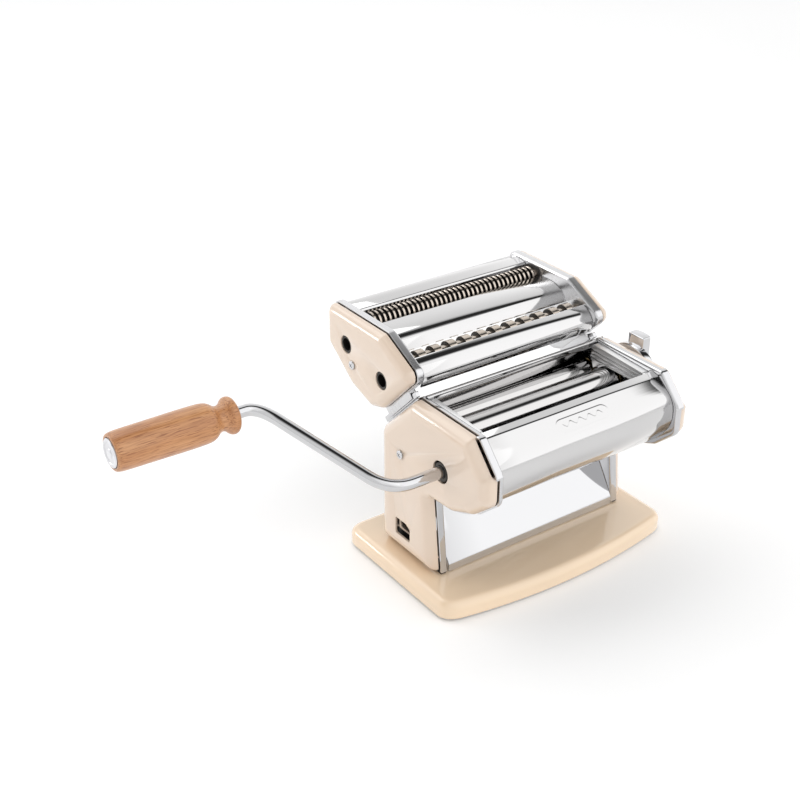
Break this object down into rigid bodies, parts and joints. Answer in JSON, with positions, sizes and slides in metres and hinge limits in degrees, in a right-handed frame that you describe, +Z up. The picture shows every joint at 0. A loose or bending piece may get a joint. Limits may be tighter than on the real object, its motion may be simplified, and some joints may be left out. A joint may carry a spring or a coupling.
{
  "type": "pasta roller machine",
  "caption": "Hand-cranked pasta machine with a pair of smooth rollers, a gap knob, a lift-off cutter for fine and wide noodles, and a painted base.",
  "frame": {"origin": "centre of the underside of the rubber mat under the base, on the plane that the machine stands on", "axes": "+X along the rollers, from the crank side to the knob side; -Y towards the user at the front; +Z up"},
  "size_m": [0.3789, 0.1838, 0.1734],
  "materials": {
    "cream_paint": "glossy baked enamel",
    "chrome": "polished",
    "steel": "ground",
    "brass": "machined",
    "beech": "varnished",
    "rubber": "matte",
    "nylon": "satin"
  },
  "bodies": {
    "frame": {"base_plate": "cream_paint", "base_mat": "rubber", "left_base_screw": "steel", "right_base_screw": "steel", "left_side_plate": "chrome", "right_side_plate": "chrome", "left_side_cover": "cream_paint", "right_side_cover": "cream_paint", "left_cover_screw": "steel", "right_cover_screw": "steel", "left_roller_bush": "brass", "right_roller_bush": "brass", "left_rail": "chrome", "right_rail": "chrome", "left_dough_guide": "chrome", "right_dough_guide": "chrome", "front_cover": "chrome", "rear_cover": "chrome", "chute": "chrome", "front_scraper": "steel", "lower_tie_rod": "chrome", "upper_tie_rod": "steel", "pinion_bush": "brass", "dial_bush": "nylon"},
    "drive": {"drive_pinion": "steel"},
    "crank": {"crank_rod": "chrome"},
    "grip": {"crank_grip": "beech", "grip_end_cap": "chrome"},
    "front_roller": {"front_roller": "chrome", "front_roller_gear": "steel"},
    "gap_carriage": {"left_bearing_block": "brass", "right_bearing_block": "brass", "gap_yoke": "steel", "rear_scraper": "steel"},
    "rear_roller": {"rear_roller": "chrome", "rear_roller_gear": "steel"},
    "dial_shaft": {"dial_shaft": "steel", "gap_cam": "steel", "knob_spring": "steel"},
    "knob": {"dial_knob": "chrome"},
    "cutter": {"cutter_left_plate": "chrome", "cutter_right_plate": "chrome", "cutter_left_cover": "cream_paint", "cutter_right_cover": "cream_paint", "cutter_left_screw": "steel", "cutter_right_screw": "steel", "cutter_rear_cover": "chrome", "cutter_middle_cover": "chrome", "cutter_front_cover": "chrome", "fine_comb": "steel", "wide_comb": "steel", "cutter_tie_rod": "chrome"},
    "fine_drive": {"fine_drive_roller": "steel", "fine_drive_gear": "steel"},
    "fine_mate": {"fine_mate_roller": "steel", "fine_mate_gear": "steel"},
    "wide_drive": {"wide_drive_roller": "steel", "wide_drive_gear": "steel"},
    "wide_mate": {"wide_mate_roller": "steel", "wide_mate_gear": "steel"}
  },
  "joints": [
    {"name": "drive_spin", "type": "hinge", "parent": "frame", "child": "drive", "pos_m": [0, -0.0316, 0.103], "axis": [1, 0, 0], "continuous": true},
    {"name": "crank_pull", "type": "slide", "parent": "drive", "child": "crank", "axis": [-1, 0, 0], "range_m": [0, 0.035]},
    {"name": "grip_spin", "type": "hinge", "parent": "crank", "child": "grip", "pos_m": [0, 0.0599, 0.1357], "axis": [1, 0, 0], "continuous": true},
    {"name": "front_roller_spin", "type": "hinge", "parent": "frame", "child": "front_roller", "pos_m": [0, -0.014, 0.112], "axis": [1, 0, 0], "continuous": true},
    {"name": "dial_turn", "type": "hinge", "parent": "frame", "child": "dial_shaft", "pos_m": [0, -0.014, 0.112], "axis": [1, 0, 0], "range_deg": [0, 150]},
    {"name": "dial_pull", "type": "slide", "parent": "dial_shaft", "child": "knob", "axis": [1, 0, 0], "range_m": [0, 0.004], "stiffness_N_per_m": 400, "springref_m": -0.005},
    {"name": "gap_slide", "type": "slide", "parent": "frame", "child": "gap_carriage", "axis": [0, 0.9848, -0.1736], "range_m": [-0.0018, 0]},
    {"name": "rear_roller_spin", "type": "hinge", "parent": "gap_carriage", "child": "rear_roller", "pos_m": [0, 0.0121, 0.1074], "axis": [1, 0, 0], "continuous": true},
    {"name": "cutter_lift", "type": "slide", "parent": "frame", "child": "cutter", "axis": [0, -0.7071, 0.7071], "range_m": [0, 0.045]},
    {"name": "fine_drive_spin", "type": "hinge", "parent": "cutter", "child": "fine_drive", "pos_m": [0, 0.078, 0.1505], "axis": [1, 0, 0], "continuous": true},
    {"name": "fine_mate_spin", "type": "hinge", "parent": "cutter", "child": "fine_mate", "pos_m": [0, 0.0765, 0.1628], "axis": [1, 0, 0], "continuous": true},
    {"name": "wide_drive_spin", "type": "hinge", "parent": "cutter", "child": "wide_drive", "pos_m": [0, 0.0356, 0.1405], "axis": [1, 0, 0], "continuous": true},
    {"name": "wide_mate_spin", "type": "hinge", "parent": "cutter", "child": "wide_mate", "pos_m": [0, 0.0293, 0.15113], "axis": [1, 0, 0], "continuous": true}
  ],
  "couplings": [
    {"joint": "front_roller_spin", "follows": "drive_spin", "ratio": -0.66667},
    {"joint": "rear_roller_spin", "follows": "drive_spin", "ratio": 0.66667},
    {"joint": "dial_turn", "follows": "gap_slide", "rad_per_m": -1454.4},
    {"joint": "fine_mate_spin", "follows": "fine_drive_spin", "ratio": -1},
    {"joint": "wide_mate_spin", "follows": "wide_drive_spin", "ratio": -1}
  ]
}
